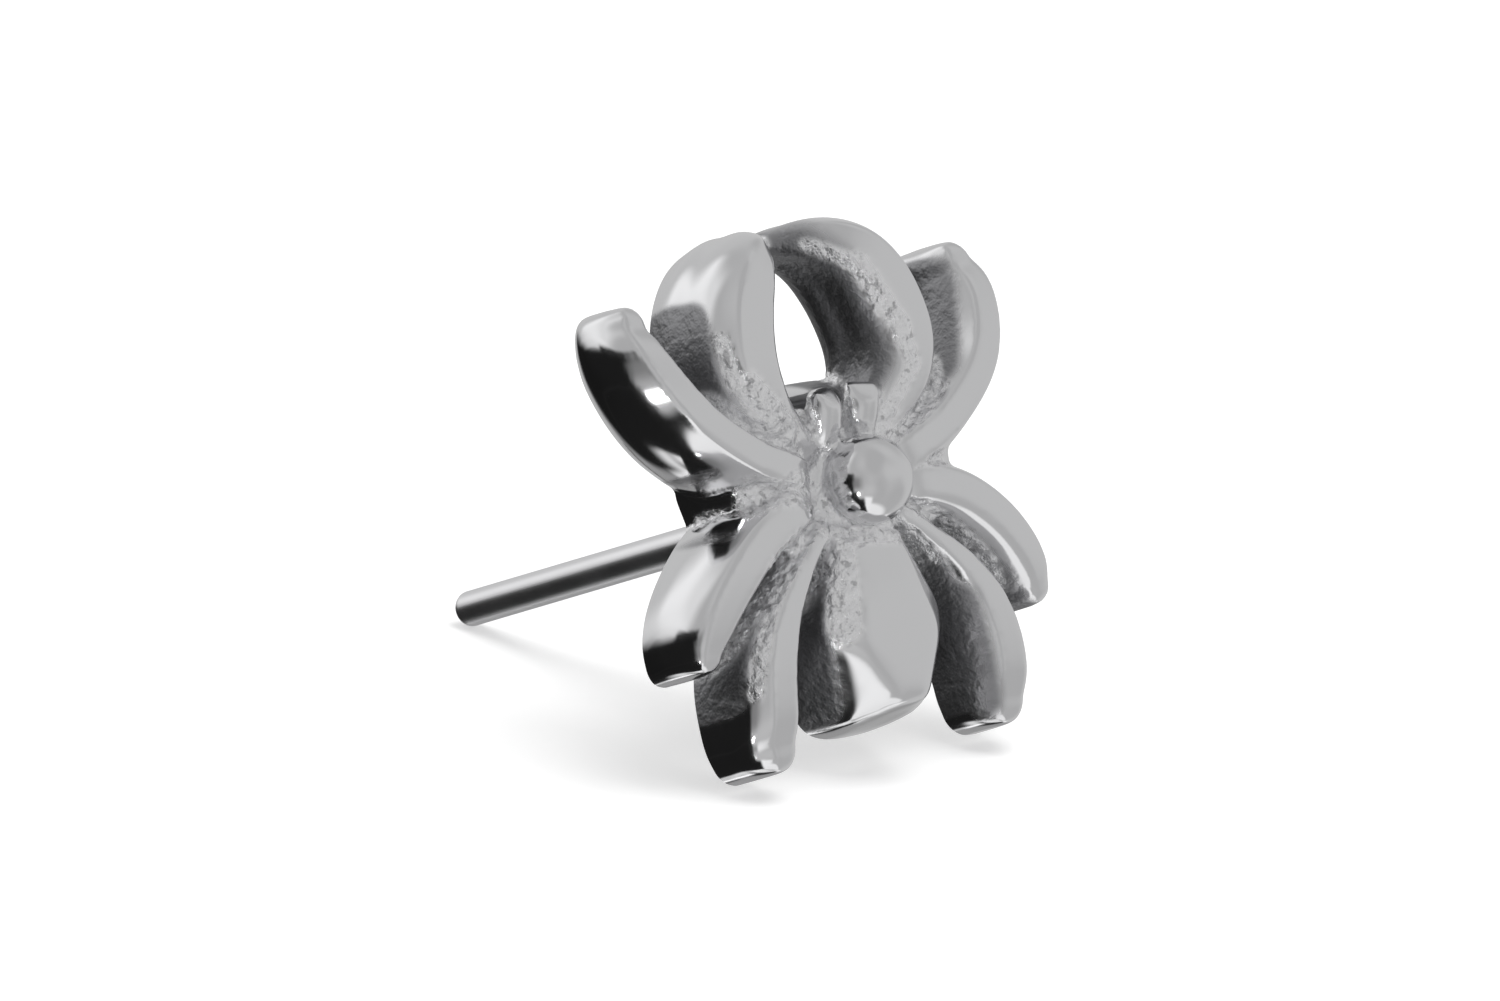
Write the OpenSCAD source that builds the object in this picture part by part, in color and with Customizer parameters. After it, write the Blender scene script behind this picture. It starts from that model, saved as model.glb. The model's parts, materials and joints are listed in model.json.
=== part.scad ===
// Threadless piercing top: a cast spider with a plain round pin.
// The casting is drawn lying on its flat back: x to the side, y towards the
// head, z out of the back. The last step lays the whole top down as it rests
// by itself, on its two lowest feet and the end of the pin.

/* [Pin] */
// Diameter of the pin
pin_d = 0.58; // [0.4:0.01:0.9]
// Length of the pin, from the flat back to its end
pin_length = 7.90; // [5:0.05:9]
// Radius of the rounded edge at the pin's end
pin_edge_r = 0.15; // [0.05:0.01:0.19]

/* [Head] */
// Diameter of the ball head
head_d = 1.48; // [1.2:0.02:1.7]
// Height of the ball's centre above the flat back
head_height = 1.79; // [1.6:0.01:1.95]
// Distance of the ball's centre above the pin's axis
head_up = 0.18; // [0:0.01:0.4]

/* [Palps] */
// Distance from the middle to each palp's knob
palp_out = 0.42; // [0.36:0.01:0.5]
// Distance of the palps' tips above the pin's axis
palp_up = 1.72; // [1.6:0.01:1.85]
// Diameter of a palp's knob
knob_d = 0.44; // [0.34:0.01:0.5]

/* [Legs] */
// How much further out the curled legs stand at the flat back
curled_splay = 0.11; // [0:0.01:0.12]
// How much further in the raised legs stand at the flat back
raised_splay = 0.05; // [0:0.01:0.08]
// How much wider each lowered leg is at the flat back, on each side
lowered_draft = 0.08; // [0:0.01:0.12]
// How much wider each trailing leg is at the flat back, on each side
trailing_draft = 0.18; // [0:0.01:0.20]
// Width of the rounded edge along a leg's front
leg_edge = 0.14; // [0.05:0.01:0.16]

/* [Abdomen] */
// How much wider the abdomen is at the flat back than at its shoulder
abdomen_draft = 0.34; // [0.1:0.01:0.4]
// Width of the rounded shoulder around the abdomen
abdomen_edge = 0.42; // [0.2:0.01:0.45]

/* [Surface] */
// Number of sides of the round sections
round_sides = 16; // [12:4:24]
// Number of steps between two rows of a leg's table
leg_steps = 2; // [1:1:3]

/* [Hidden] */

// Columns of the leg tables: distance to the side, distance above the pin's
// axis, width and height of the leg there. The rows run from root to tip.
SIDE = 0;
UP = 1;
WIDTH = 2;
HEIGHT = 3;

// The upper pair: it leaves the body beside the head, bows outwards and curls
// in again, so that both tips meet in the middle.
curled_leg = [
    [0.60, 0.60, 0.70, 1.45],
    [1.20, 1.25, 0.94, 1.62],
    [1.65, 1.72, 1.04, 1.80],
    [1.87, 2.30, 1.10, 1.88],
    [1.81, 2.85, 1.08, 1.90],
    [1.57, 3.40, 1.00, 1.90],
    [1.19, 3.86, 0.84, 1.84],
    [0.71, 4.20, 0.62, 1.55],
    [0.20, 4.38, 0.38, 0.86]
];

// The raised pair below it
raised_leg = [
    [0.75, 0.30, 0.80, 1.70],
    [1.50, 0.62, 0.86, 1.74],
    [2.22, 0.92, 0.80, 1.80],
    [3.00, 1.50, 0.76, 1.83],
    [3.44, 2.08, 0.74, 1.79],
    [3.69, 2.68, 0.70, 1.68],
    [3.75, 3.13, 0.60, 1.54],
    [3.71, 3.44, 0.42, 1.36]
];

// The lowered pair, which bends down at the knee
lowered_leg = [
    [0.80, 0.10, 0.80, 1.66],
    [1.58, -0.04, 0.84, 1.72],
    [2.30, -0.35, 0.84, 1.72],
    [2.95, -0.84, 0.78, 1.65],
    [3.43, -1.34, 0.76, 1.50],
    [3.68, -1.74, 0.64, 1.36],
    [3.76, -2.08, 0.42, 1.22]
];

// The pair beside the abdomen
trailing_leg = [
    [0.80, -0.35, 0.46, 1.52],
    [1.36, -0.80, 0.48, 1.56],
    [1.98, -1.40, 0.66, 1.57],
    [2.38, -2.00, 0.80, 1.54],
    [2.57, -2.60, 0.80, 1.47],
    [2.62, -3.15, 0.76, 1.37],
    [2.62, -3.54, 0.64, 1.22],
    [2.63, -3.82, 0.40, 1.04]
];

// Each pair of legs: its table, and how much wider and how much further out
// it is at the flat back
ROWS = 0;
DRAFT = 1;
SPLAY = 2;
upper_draft = -0.06;
trailing_splay = 0.05;
legs = [
    [curled_leg, upper_draft, curled_splay],
    [raised_leg, upper_draft, -raised_splay],
    [lowered_leg, lowered_draft, 0],
    [trailing_leg, trailing_draft, trailing_splay]
];

// Rows of the abdomen from the neck down: distance above the pin's axis, half
// width of the shoulder and height of the front there
ABOVE = 0;
HALF = 1;
TOP = 2;
abdomen = [
    [-0.20, 0.42, 1.52],
    [-0.95, 0.56, 1.50],
    [-1.60, 0.90, 1.62],
    [-2.20, 1.18, 1.68],
    [-2.70, 1.24, 1.60],
    [-3.10, 1.20, 1.38],
    [-3.40, 0.96, 1.04],
    [-3.64, 0.50, 0.64]
];

// The web joins the legs behind the head. Its outline at the flat back runs
// from the foot of the open ring round the waist to the neck.
web_front = 1.50;
web_taper = 0.90;
web_half = [
    [1.30, 1.25], [1.90, 1.30], [2.60, 0.70], [2.46, 0.24], [1.70, -0.66],
    [1.02, -0.86]
];
web_outline = concat(
    web_half,
    [for (i = [len(web_half) - 1 : -1 : 0]) [-web_half[i].x, web_half[i].y]]
);

// The roof slopes from the back edge at the foot of the ring to the palps
roof_back_up = 2.00;
roof_back_half = 1.50;
roof_front_up = 1.00;
roof_front_half = 0.95;
roof_front_height = 1.45;

// A palp: the foot, the knob and the cut tip
palp_foot = [0.30, 0.84, 1.50];
knob_drop = 0.42;
knob_height = 1.64;
tip_height = 1.80;
tip_d = 0.24;

// Thickness of the thin plates that a hull joins
skin = 0.01;

// Each shape starts this far behind the flat back, which cuts them all
behind = 0.05;

// Half the side of the block that cuts the flat back
reach = 6;

// The lowest foot: the end of a trailing leg at the flat back
foot = trailing_leg[len(trailing_leg) - 1];
foot_reach = foot[WIDTH] / 2 + trailing_draft - foot[UP];

// The pin's profile: the wire, then a quarter round and the flat end
end_centre = pin_length - pin_edge_r;
end_rim = pin_d / 2 - pin_edge_r;
edge_steps = 4;
pin_profile = concat(
    [[0, 0], [pin_d / 2, 0]],
    [for (i = [0 : edge_steps])
        [end_rim + pin_edge_r * cos(90 * i / edge_steps),
            end_centre + pin_edge_r * sin(90 * i / edge_steps)]],
    [[0, pin_length]]
);

// The line that touches the feet and the pin's rounded end is the floor
floor_reach = norm([foot_reach, end_centre]);

// Lean of the flat back from upright. The end's rounded edge lies lower than
// its centre by its rim, which leans too, so two rounds settle the angle.
function lean_for(rim_drop) =
    acos((rim_drop + pin_edge_r) / floor_reach) - atan(end_centre / foot_reach);
first_lean = lean_for(end_rim);
lean = lean_for(end_rim * cos(first_lean));

rest_lift = foot_reach * cos(lean);

// Half way between the foremost foot and the end of the pin
foot_front = -foot[UP] * sin(lean) + foot[HEIGHT] * cos(lean);
rest_shift = (foot_front - pin_length * cos(lean)) / 2;

// A point between two rows of a table, on a smooth curve through four rows
function between(a, b, c, d, t) =
    ((2 * b) + (c - a) * t + (2 * a - 5 * b + 4 * c - d) * t * t
        + (3 * b - a - 3 * c + d) * t * t * t) / 2;

// The rows of a table, with the given number of steps from each to the next
function smooth_rows(rows, steps) =
    let (last = len(rows) - 1)
    concat(
        [for (i = [0 : last - 1]) for (s = [0 : steps - 1])
            between(rows[max(i - 1, 0)], rows[i], rows[i + 1],
                rows[min(i + 2, last)], s / steps)],
        [rows[last]]
    );

// Lays the casting's frame down as the top rests by itself
module at_rest() {
    translate([0, rest_shift, rest_lift])
        rotate([90 - lean, 0, 0])
            children();
}

// Draws its children on both sides of the middle
module both_sides() {
    children();
    mirror([1, 0, 0]) children();
}

// Rounds of a post: how far each lies below the front and inside the wall,
// as parts of the rounded edge
post_rounds = [[1, 0], [0.3, 0.3], [0, 1]];

// A thin round plate of a post
module plate(side, up, height, width) {
    translate([side, up, height - skin])
        cylinder(h = skin, d = width, $fn = round_sides);
}

// The plates of a post: its foot on the flat back and its rounded front
module post(row, draft, splay) {
    edge = min(leg_edge, row[WIDTH] * 0.4);
    plate(row[SIDE] + splay, row[UP], -behind, row[WIDTH] + 2 * draft);
    for (round = post_rounds)
        plate(row[SIDE], row[UP], row[HEIGHT] - round[0] * edge,
            row[WIDTH] - 2 * round[1] * edge);
}

// One leg: posts along its table, joined two by two
module leg(rows, draft, splay) {
    stations = smooth_rows(rows, leg_steps);
    for (i = [0 : len(stations) - 2])
        hull() {
            post(stations[i], draft, splay);
            post(stations[i + 1], draft, splay);
        }
}

// A cross-section of the abdomen: straight walls that widen to the back, and
// a rounded shoulder below the front
module abdomen_section(row) {
    half = row[HALF];
    edge = min(abdomen_edge, half * 0.6);
    translate([0, row[ABOVE], 0])
        rotate([90, 0, 0])
            linear_extrude(skin)
                polygon([
                    [-half - abdomen_draft, -behind],
                    [half + abdomen_draft, -behind],
                    [half, row[TOP] - edge],
                    [half - 0.3 * edge, row[TOP] - 0.4 * edge],
                    [half - edge, row[TOP] - 0.1 * edge],
                    [0, row[TOP]],
                    [edge - half, row[TOP] - 0.1 * edge],
                    [0.3 * edge - half, row[TOP] - 0.4 * edge],
                    [-half, row[TOP] - edge]
                ]);
}

module abdomen_drop() {
    rows = smooth_rows(abdomen, leg_steps);
    for (i = [0 : len(rows) - 2])
        hull() {
            abdomen_section(rows[i]);
            abdomen_section(rows[i + 1]);
        }
}

// The web, whose wall leans in towards the front
module web() {
    translate([0, 0, -behind])
        linear_extrude(web_front + behind, scale = web_taper)
            polygon(web_outline);
}

// The sloping roof between the curled legs
module roof() {
    hull() {
        translate([-roof_back_half, 0, -behind])
            cube([2 * roof_back_half, roof_back_up, behind + skin]);
        translate([-roof_front_half, 0, 0])
            cube([2 * roof_front_half, roof_front_up, roof_front_height]);
    }
}

// One palp: a stem that ends in a knob with a cut tip
module palp() {
    knob = [palp_out, palp_up - knob_drop, knob_height];
    hull() {
        translate(palp_foot) sphere(d = knob_d * 0.8, $fn = round_sides);
        translate(knob) sphere(d = knob_d, $fn = round_sides);
    }
    hull() {
        translate(knob) sphere(d = knob_d * 0.8, $fn = round_sides);
        translate([palp_out, palp_up, tip_height])
            rotate([70, 0, 0])
                cylinder(h = skin, d = tip_d, $fn = 6);
    }
}

module head() {
    translate([0, head_up, head_height])
        sphere(d = head_d, $fn = 2 * round_sides);
}

// Cuts its children off at the flat back
module flat_back() {
    difference() {
        children();
        translate([-reach, -reach, -1])
            cube([2 * reach, 2 * reach, 1]);
    }
}

// The casting: everything but the pin
module spider() {
    color("silver")
        at_rest()
            flat_back() {
                head();
                web();
                roof();
                abdomen_drop();
                both_sides() {
                    palp();
                    for (pair = legs)
                        leg(pair[ROWS], pair[DRAFT], pair[SPLAY]);
                }
            }
}

// The plain wire, butted on the flat back, with a rounded end
module pin() {
    color("gainsboro")
        at_rest()
            rotate([180, 0, 0])
                rotate_extrude($fn = 64)
                    polygon(pin_profile);
}

spider();
pin();
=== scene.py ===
"""Threadless piercing top: a polished cast spider on a plain drawn pin.

The casting is modelled in millimetres in its own frame: x to the side, y up
along the flat back and z out of the back. It is then scaled to metres and
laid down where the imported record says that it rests.
"""

from __future__ import annotations

import json
import logging
import math
from collections.abc import Callable, Iterator, Sequence
from contextlib import contextmanager
from dataclasses import dataclass, field
from enum import Enum
from typing import NamedTuple

import bmesh
import bpy
import numpy as np
from mathutils import Matrix, Vector
from mathutils.bvhtree import BVHTree

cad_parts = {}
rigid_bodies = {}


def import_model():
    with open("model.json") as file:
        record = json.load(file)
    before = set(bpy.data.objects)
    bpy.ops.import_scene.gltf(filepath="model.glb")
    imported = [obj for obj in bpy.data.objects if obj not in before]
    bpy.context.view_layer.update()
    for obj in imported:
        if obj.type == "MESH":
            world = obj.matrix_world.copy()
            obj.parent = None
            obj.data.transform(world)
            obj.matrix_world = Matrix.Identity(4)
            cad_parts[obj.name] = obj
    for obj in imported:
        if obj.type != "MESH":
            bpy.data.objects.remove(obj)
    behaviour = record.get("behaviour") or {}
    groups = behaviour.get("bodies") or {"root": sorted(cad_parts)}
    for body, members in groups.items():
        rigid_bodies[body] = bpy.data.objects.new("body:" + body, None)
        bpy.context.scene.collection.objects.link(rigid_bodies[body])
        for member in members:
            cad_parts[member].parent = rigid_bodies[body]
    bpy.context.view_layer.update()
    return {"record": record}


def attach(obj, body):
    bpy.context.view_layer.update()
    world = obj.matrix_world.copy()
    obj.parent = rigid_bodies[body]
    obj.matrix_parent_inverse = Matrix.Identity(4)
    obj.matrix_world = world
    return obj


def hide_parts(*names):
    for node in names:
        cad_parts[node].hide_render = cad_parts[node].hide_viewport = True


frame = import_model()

MM = 0.001
TINY = 1e-4
SMOOTH_BELOW = math.radians(40)
LOG = logging.getLogger("spider")


class Station(NamedTuple):
    """A cross-section of a ribbon: where it stands, and its size, in mm."""

    side: float
    up: float
    width: float
    height: float


class Facet(NamedTuple):
    """A flat cut: a place on it and the way it faces, in mm."""

    place: tuple[float, float, float]
    normal: tuple[float, float, float]


class Glow(NamedTuple):
    """A soft-edged patch of the studio as the metal sees it, in degrees.

    The turn is measured from the camera towards its right, the lift upwards.
    The spread and the height are half sizes. A later patch covers an earlier one.
    """

    turn: float
    spread: float
    lift: float
    height: float
    soft: float
    level: float


class Surface(Enum):
    """The finishes that a spot of the casting can have besides the mirror polish."""

    GRAINY = "as_cast"
    SATIN = "satin"


class Stretch(NamedTuple):
    """A stretch finished by hand, from start to end.

    The share says how much of the finish it gets, from 0 to 1. The radius is
    its half width, in mm.
    """

    surface: Surface
    share: float
    start: tuple[float, float, float]
    end: tuple[float, float, float]
    radius: float


def pin_mount(record: dict) -> dict:
    """Gives the record's pin mount."""
    return next(mount for mount in record["mounts"] if mount["name"] == "pin")


@dataclass(frozen=True)
class CastingFrame:
    """Where the casting's own frame lies in the row frame.

    Args:
        root: Where the pin's axis leaves the flat back, in metres.
        side: Unit vector to the side.
        up: Unit vector up along the flat back.
        out: Unit vector out of the flat back.
    """

    root: Vector
    side: Vector
    up: Vector
    out: Vector

    @classmethod
    def from_record(cls, record: dict) -> CastingFrame:
        """Reads the frame from the record's pin mount.

        Args:
            record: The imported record.

        Returns:
            The casting's frame.
        """
        pin = pin_mount(record)
        along = Vector(pin["axis"]).normalized()
        length = pin["dims"]["length_mm"] * MM
        side = Vector((1, 0, 0))
        return cls(Vector(pin["pos_m"]) - along * length / 2, side, (-along).cross(side), -along)

    def matrix(self) -> Matrix:
        """Takes millimetres of the casting's frame to metres of the row frame."""
        turned = Matrix((self.side, self.up, self.out)).transposed().to_4x4()
        return Matrix.Translation(self.root) @ turned @ Matrix.Scale(MM, 4)


def deselect_all() -> None:
    """Deselects every object."""
    for other in bpy.context.view_layer.objects:
        other.select_set(False)


def make_active(piece: bpy.types.Object) -> None:
    """Selects one object alone and makes it active.

    Args:
        piece: The object.
    """
    deselect_all()
    piece.select_set(True)
    bpy.context.view_layer.objects.active = piece


@contextmanager
def editing(piece: bpy.types.Object) -> Iterator[None]:
    """Opens an object in edit mode for the length of a with block.

    Args:
        piece: The object.

    Yields:
        Nothing.
    """
    make_active(piece)
    bpy.ops.object.mode_set(mode="EDIT")
    try:
        yield
    finally:
        bpy.ops.object.mode_set(mode="OBJECT")


def select_vertices(piece: bpy.types.Object, test: Callable[[Vector], bool]) -> None:
    """Selects the vertices whose place passes a test, in edit mode.

    Args:
        piece: The object in edit mode.
        test: Takes a vertex's place and says whether it is selected.
    """
    shape = bmesh.from_edit_mesh(piece.data)
    for vertex in shape.verts:
        vertex.select_set(test(vertex.co))
    shape.select_flush(True)
    bmesh.update_edit_mesh(piece.data)


def select_edges(piece: bpy.types.Object, test: Callable[[bmesh.types.BMEdge], bool]) -> None:
    """Selects the edges that pass a test, in edit mode.

    Args:
        piece: The object in edit mode.
        test: Takes an edge and says whether it is selected.
    """
    shape = bmesh.from_edit_mesh(piece.data)
    bpy.ops.mesh.select_all(action="DESELECT")
    for edge in shape.edges:
        if test(edge):
            edge.select_set(True)
    bmesh.update_edit_mesh(piece.data)


def apply_modifier(piece: bpy.types.Object, kind: str, **values: object) -> None:
    """Adds a modifier to an object, sets it and applies it.

    Args:
        piece: The object.
        kind: Blender's name for the kind of modifier.
        **values: The modifier's settings.
    """
    make_active(piece)
    modifier = piece.modifiers.new(kind.title(), kind)
    for name, value in values.items():
        setattr(modifier, name, value)
    bpy.ops.object.modifier_apply(modifier=modifier.name)


def add_mirror_image(piece: bpy.types.Object) -> None:
    """Adds an object's mirror image on the other side."""
    apply_modifier(piece, "MIRROR", use_axis=(True, False, False), use_mirror_merge=False)


def face_outwards(piece: bpy.types.Object) -> None:
    """Turns all the faces of a closed shell outwards.

    Args:
        piece: The shell.
    """
    with editing(piece):
        bpy.ops.mesh.select_all(action="SELECT")
        bpy.ops.mesh.normals_make_consistent(inside=False)


def cut_off(place: Sequence[float], normal: Sequence[float]) -> None:
    """Cuts the object in edit mode along a plane and closes the cut.

    Args:
        place: A place on the plane.
        normal: The way that the cut end faces. What lies beyond goes away.
    """
    bpy.ops.mesh.select_all(action="SELECT")
    bpy.ops.mesh.bisect(plane_co=place, plane_no=normal, use_fill=True, clear_outer=True)


def round_off(piece: bpy.types.Object, grid: float, iterations: int) -> bpy.types.Object:
    """Turns closed shells that overlap into one skin and rounds all its corners.

    Args:
        piece: The shells, as one object.
        grid: The grid of the new mesh, in mm.
        iterations: How often the new mesh is smoothed.

    Returns:
        The same object.
    """
    apply_modifier(piece, "REMESH", mode="VOXEL", voxel_size=grid, use_smooth_shade=True)
    apply_modifier(piece, "SMOOTH", factor=0.5, iterations=iterations)
    return piece


def clamp(value: float) -> float:
    """Limits a value to the range from 0 to 1."""
    return min(max(value, 0), 1)


def between(a: Station, b: Station, c: Station, d: Station, share: float) -> Station:
    """Finds a cross-section between two others, on a smooth curve through four.

    Args:
        a: The one before the stretch.
        b: The stretch's start.
        c: The stretch's end.
        d: The one after the stretch.
        share: How far along the stretch it lies, from 0 to 1.

    Returns:
        The cross-section there.
    """
    points = [np.array(row) for row in (a, b, c, d)]
    bend = 2 * points[0] - 5 * points[1] + 4 * points[2] - points[3]
    twist = 3 * points[1] - points[0] - 3 * points[2] + points[3]
    slope = points[2] - points[0]
    return Station(*((2 * points[1] + slope * share + bend * share**2 + twist * share**3) / 2))


def smoothed(rows: Sequence[Station], steps: int) -> list[Station]:
    """Adds cross-sections between the rows of a table.

    Args:
        rows: The table, from root to tip.
        steps: The number of steps from each row to the next.

    Returns:
        The longer table.
    """
    last = len(rows) - 1
    found = []
    for i in range(last):
        four = rows[max(i - 1, 0)], rows[i], rows[i + 1], rows[min(i + 2, last)]
        found += [between(*four, step / steps) for step in range(steps)]
    return found + [rows[last]]


@dataclass
class Ribbon:
    """A deep ribbon of metal that follows a line along the flat back.

    Args:
        name: Its name.
        rows: Its cross-sections, from root to tip.
        draft: How much wider it is at the flat back, as a part of its width.
        splay: How much further out and up it stands at the flat back.
        edge: How far the worn edges along its front reach in, at the root.
        fall: How far they reach down the walls.
        bulge: How far its walls stand out at half their height.
        crown: How far the middle of its front stands up.
        tip: How far past the last row its rounded tip reaches, as a part of
            the width there.
        drop: How far the front falls away on the rounded tip.
        mirrored: Whether it has a mirror image on the other side.
        steps: The number of steps from each row to the next.
        nose_steps: The number of steps along the rounded tip.
        behind: How far it reaches past the flat back, where it is cut off later.
        levels: How often its faces are subdivided.
        sharp: Edges past the flat back that are sharper than this stay sharp.
        stations: Its cross-sections, with the ones between the rows and on the tip.
        headings: The way that it runs at each, as an angle in the flat back's plane.
    """

    name: str
    rows: Sequence[Station]
    draft: float = 0.0
    splay: tuple[float, float] = (0.0, 0.0)
    edge: float = 0.14
    fall: float = 0.30
    bulge: float = 0.02
    crown: float = 0.04
    tip: float = 0.5
    drop: float = 0.30
    mirrored: bool = True
    steps: int = 3
    nose_steps: int = 4
    behind: float = 0.20
    levels: int = 2
    sharp: float = math.radians(50)
    stations: list[Station] = field(init=False)
    headings: list[float] = field(init=False)

    def __post_init__(self) -> None:
        """Works out the stations and the heading at each."""
        self.stations = smoothed(self.rows, self.steps)
        self.headings = self.headings_along(self.stations)
        if self.tip:
            self.add_nose()

    @staticmethod
    def headings_along(stations: Sequence[Station]) -> list[float]:
        """Finds which way the ribbon runs at each station.

        Args:
            stations: The cross-sections.

        Returns:
            Angles in the plane of the flat back, without jumps.
        """
        last = len(stations) - 1
        ahead = [stations[min(i + 1, last)] for i in range(last + 1)]
        back = [stations[max(i - 1, 0)] for i in range(last + 1)]
        angles = [math.atan2(a.up - b.up, a.side - b.side) for a, b in zip(ahead, back)]
        return [float(angle) for angle in np.unwrap(angles)]

    def add_nose(self) -> None:
        """Adds the stations of the rounded tip: a quarter ellipse in plan and in profile."""
        end, heading = self.stations[-1], self.headings[-1]
        for step in range(1, self.nose_steps + 1):
            turn = math.pi / 2 * step / (self.nose_steps + 1)
            reach = end.width * self.tip * math.sin(turn)
            self.stations.append(
                Station(
                    end.side + reach * math.cos(heading),
                    end.up + reach * math.sin(heading),
                    end.width * math.cos(turn),
                    end.height - self.drop * (1 - math.cos(turn)),
                )
            )
            self.headings.append(heading)

    def floor_centre(self, index: int) -> tuple[float, float, float]:
        """Gives the middle of a station's foot, past the flat back."""
        return self.stations[index].side, self.stations[index].up, -self.behind

    def add_root(self) -> bpy.types.Object:
        """Adds the first cross-section as a standing plane.

        Returns:
            The plane, which the ribbon is extruded from.
        """
        start = self.stations[0]
        tall = start.height + self.behind
        deselect_all()
        bpy.ops.mesh.primitive_plane_add(
            size=1.0,
            location=(start.side, start.up, tall / 2 - self.behind),
            rotation=(math.pi / 2, 0, self.headings[0] + math.pi / 2),
        )
        piece = bpy.context.object
        piece.name = self.name
        bpy.ops.object.transform_apply(location=True, rotation=True, scale=True)
        with editing(piece):
            bpy.ops.mesh.select_all(action="SELECT")
            bpy.ops.transform.resize(
                value=(start.width, start.width, tall), center_override=self.floor_centre(0)
            )
            shift = -self.behind - min(v.co.z for v in bmesh.from_edit_mesh(piece.data).verts)
            bpy.ops.transform.translate(value=(0, 0, shift))
            if self.edge > 0:
                self.shape_root(piece)
        return piece

    def shape_root(self, piece: bpy.types.Object) -> None:
        """Bulges the first cross-section's walls, crowns its front and wears its edges.

        Args:
            piece: The cross-section, in edit mode.
        """
        start = self.stations[0]
        centre = Vector(self.floor_centre(0))
        middle = (start.height - self.behind) / 2
        wider = 1 + 2 * self.bulge / start.width

        def aside(place: Vector) -> float:
            """Gives a vertex's distance from the middle of the ribbon."""
            return (place - centre).xy.length

        bpy.ops.mesh.select_all(action="SELECT")
        bpy.ops.mesh.subdivide(number_cuts=1)
        select_vertices(piece, lambda place: abs(place.z - middle) < TINY)
        bpy.ops.transform.resize(value=(wider, wider, 1), center_override=centre)
        select_vertices(piece, lambda place: place.z > middle + TINY and aside(place) < TINY)
        bpy.ops.transform.translate(value=(0, 0, self.crown))
        select_vertices(piece, lambda place: place.z > middle + TINY and aside(place) > TINY)
        bpy.ops.mesh.bevel(affect="VERTICES", offset=self.edge, segments=1)
        low = start.height - self.edge / 2
        select_vertices(piece, lambda place: middle + TINY < place.z < low)
        bpy.ops.transform.translate(value=(0, 0, self.edge - self.fall))

    def extrude_along(self, piece: bpy.types.Object) -> None:
        """Extrudes the root from station to station, turned and sized at each.

        Args:
            piece: The first cross-section.
        """
        with editing(piece):
            bpy.ops.mesh.select_all(action="SELECT")
            for i in range(1, len(self.stations)):
                here, before = self.stations[i], self.stations[i - 1]
                centre = self.floor_centre(i)
                wider = here.width / before.width
                taller = (here.height + self.behind) / (before.height + self.behind)
                step = (here.side - before.side, here.up - before.up, 0)
                bpy.ops.mesh.extrude_region_move(TRANSFORM_OT_translate={"value": step})
                bpy.ops.transform.resize(value=(wider, wider, taller), center_override=centre)
                bpy.ops.transform.rotate(
                    value=self.headings[i - 1] - self.headings[i],
                    orient_axis="Z",
                    center_override=centre,
                )

    def widen_foot(self, piece: bpy.types.Object) -> None:
        """Widens and splays the ribbon at the flat back, and half as much at half its height.

        Args:
            piece: The extruded ribbon.
        """
        reach = 0.5 + self.bulge / self.stations[0].width
        with editing(piece):
            for i, (station, heading) in enumerate(zip(self.stations, self.headings)):
                centre = Vector(self.floor_centre(i))
                ahead = Vector((math.cos(heading), math.sin(heading), 0))
                within = station.width * reach + TINY
                middle = (station.height - self.behind) / 2
                for level, share in ((-self.behind, 1.0), (middle, 0.5)):

                    def on_level(place: Vector) -> bool:
                        """Says whether a vertex is one of this station's at this level.

                        Args:
                            place: The vertex's place.

                        Returns:
                            True where it is.
                        """
                        apart = place - centre
                        beside = abs(place.z - level) < TINY and abs(apart.xy @ ahead.xy) < TINY
                        return beside and apart.xy.length < within

                    select_vertices(piece, on_level)
                    wider = 1 + share * self.draft
                    shift = Vector((*self.splay, 0))
                    bpy.ops.transform.resize(value=(wider, wider, 1), center_override=centre)
                    bpy.ops.transform.translate(value=shift * share)

    def crease_back(self, piece: bpy.types.Object) -> None:
        """Keeps the edges past the flat back sharp, so that the foot keeps its outline.

        Args:
            piece: The extruded ribbon.
        """

        def at_back(edge: bmesh.types.BMEdge) -> bool:
            """Says whether an edge is sharp and lies past the flat back."""
            deep = max(v.co.z for v in edge.verts) < 0
            return deep and edge.calc_face_angle(0) > self.sharp

        face_outwards(piece)
        with editing(piece):
            select_edges(piece, at_back)
            bpy.ops.transform.edge_crease(value=1.0)

    def build(self) -> bpy.types.Object:
        """Builds the ribbon, and its mirror image where it has one.

        Returns:
            The finished closed shell.
        """
        piece = self.add_root()
        self.extrude_along(piece)
        self.widen_foot(piece)
        self.crease_back(piece)
        if self.levels:
            apply_modifier(piece, "SUBSURF", levels=self.levels, render_levels=self.levels)
        if self.mirrored:
            add_mirror_image(piece)
        face_outwards(piece)
        return piece


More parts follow.
